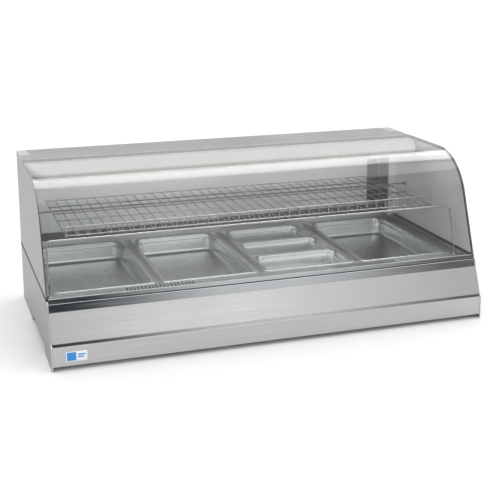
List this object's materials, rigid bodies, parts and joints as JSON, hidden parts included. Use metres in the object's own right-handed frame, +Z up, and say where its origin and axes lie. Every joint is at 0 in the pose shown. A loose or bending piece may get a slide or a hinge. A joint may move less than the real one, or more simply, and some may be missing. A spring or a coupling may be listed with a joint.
{
  "type": "hot food display case",
  "caption": "Counter-top heated display case with curved tilting glass, a heated well of lift-out pans, a wire rack, a lamp canopy and sliding rear doors.",
  "frame": {"origin": "on the counter, under the middle of the case's box", "axes": "+X to the right seen from the customer's side, the customer's side faces -Y, +Z up"},
  "size_m": [1.45, 0.74, 0.54],
  "materials": {
    "brushed_panel": "brushed along the length, satin",
    "inner_steel": "fine brushed",
    "polished_rail": "bright polished",
    "pan_steel": "satin pressed",
    "display_glass": "clear, green edge",
    "lamp_glass": "frosted quartz",
    "gasket": "matt black",
    "black_plastic": "fine grain",
    "dark_track": "dark anodised look",
    "canopy_cream": "warm off-white",
    "rack_wire": "bright plated",
    "ceramic": "glazed",
    "insulation": "mineral wool",
    "badge_blue": "glossy",
    "amber_lens": "translucent look",
    "heater_rod": "oxidised steel sheath",
    "fan_plastic": "moulded"
  },
  "bodies": {
    "casing": {"base_tray": "inner_steel", "rubber_feet": "gasket", "front_panel_lower": "brushed_panel", "front_reveal_strip": "black_plastic", "front_panel_upper": "brushed_panel", "front_rail": "polished_rail", "name_plate": "badge_blue", "waist_gaskets": "gasket", "end_plugs": "black_plastic", "edge_gaskets": "gasket", "deck_plate": "inner_steel", "divider_bars": "inner_steel", "well_liner": "inner_steel", "insulation_slab": "insulation", "air_baffle": "inner_steel", "fan_shelf": "inner_steel", "heating_elements": "heater_rod", "element_stands": "ceramic", "rack_support_front": "rack_wire", "rack_support_rear": "rack_wire", "lamp_canopy": "canopy_cream", "lamp_end_caps": "canopy_cream", "lamp_tubes": "lamp_glass", "lamp_holders": "ceramic", "rear_sill_track": "dark_track", "rear_top_rail": "brushed_panel", "rear_panel": "brushed_panel", "screws": "inner_steel", "thermostat_body": "black_plastic", "switch_bodies": "black_plastic", "pilot_lamps": "amber_lens", "cable_inlet": "black_plastic", "terminal_block": "ceramic", "fan_frame_left": "fan_plastic", "fan_frame_right": "fan_plastic", "lower_end_panel_left": "brushed_panel", "lower_end_panel_right": "brushed_panel", "upper_end_panel_left": "brushed_panel", "upper_end_panel_right": "brushed_panel", "rear_post_left": "brushed_panel", "rear_post_right": "brushed_panel"},
    "front_glass": {"curved_glass": "display_glass", "glass_clamp_rail": "polished_rail", "glass_hinge_pins": "inner_steel"},
    "left_door": {"door_left": "brushed_panel", "door_grip_left": "black_plastic"},
    "right_door": {"door_right": "brushed_panel", "door_grip_right": "black_plastic"},
    "rack": {"wire_rack": "rack_wire"},
    "left_fan": {"fan_rotor_left": "fan_plastic"},
    "right_fan": {"fan_rotor_right": "fan_plastic"},
    "knob": {"thermostat_knob": "black_plastic"},
    "main_switch": {"main_rocker": "black_plastic"},
    "lamp_switch": {"lamp_rocker": "black_plastic"},
    "lift_pan_1": {"pan_1": "pan_steel"},
    "lift_pan_2": {"pan_2": "pan_steel"},
    "lift_pan_3_front": {"pan_3_front": "pan_steel"},
    "lift_pan_3_middle": {"pan_3_middle": "pan_steel"},
    "lift_pan_3_rear": {"pan_3_rear": "pan_steel"},
    "lift_pan_4": {"pan_4": "pan_steel"}
  },
  "joints": [
    {"name": "glass_tilt", "type": "hinge", "parent": "casing", "child": "front_glass", "pos_m": [0, -0.304, 0.191], "axis": [1, 0, 0], "range_deg": [0, 45]},
    {"name": "left_door_slide", "type": "slide", "parent": "casing", "child": "left_door", "axis": [1, 0, 0], "range_m": [0, 0.65]},
    {"name": "right_door_slide", "type": "slide", "parent": "casing", "child": "right_door", "axis": [-1, 0, 0], "range_m": [0, 0.65]},
    {"name": "rack_lift", "type": "slide", "parent": "casing", "child": "rack", "axis": [0, 0, 1], "range_m": [0, 0.08]},
    {"name": "left_fan_spin", "type": "hinge", "parent": "casing", "child": "left_fan", "pos_m": [-0.354, -0.23325, 0.127], "axis": [0, 0, 1], "continuous": true},
    {"name": "right_fan_spin", "type": "hinge", "parent": "casing", "child": "right_fan", "pos_m": [0.354, -0.23325, 0.127], "axis": [0, 0, 1], "continuous": true},
    {"name": "knob_turn", "type": "hinge", "parent": "casing", "child": "knob", "pos_m": [-0.6, 0.355, 0.046], "axis": [0, 1, 0], "range_deg": [0, 270]},
    {"name": "main_switch_rock", "type": "hinge", "parent": "casing", "child": "main_switch", "pos_m": [-0.53, 0.3475, 0.046], "axis": [1, 0, 0], "range_deg": [0, 20]},
    {"name": "lamp_switch_rock", "type": "hinge", "parent": "casing", "child": "lamp_switch", "pos_m": [-0.49, 0.3475, 0.046], "axis": [1, 0, 0], "range_deg": [0, 20]},
    {"name": "pan_1_lift", "type": "slide", "parent": "casing", "child": "lift_pan_1", "axis": [0, 0, 1], "range_m": [0, 0.1]},
    {"name": "pan_2_lift", "type": "slide", "parent": "casing", "child": "lift_pan_2", "axis": [0, 0, 1], "range_m": [0, 0.1]},
    {"name": "pan_3_front_lift", "type": "slide", "parent": "casing", "child": "lift_pan_3_front", "axis": [0, 0, 1], "range_m": [0, 0.1]},
    {"name": "pan_3_middle_lift", "type": "slide", "parent": "casing", "child": "lift_pan_3_middle", "axis": [0, 0, 1], "range_m": [0, 0.1]},
    {"name": "pan_3_rear_lift", "type": "slide", "parent": "casing", "child": "lift_pan_3_rear", "axis": [0, 0, 1], "range_m": [0, 0.1]},
    {"name": "pan_4_lift", "type": "slide", "parent": "casing", "child": "lift_pan_4", "axis": [0, 0, 1], "range_m": [0, 0.1]}
  ]
}
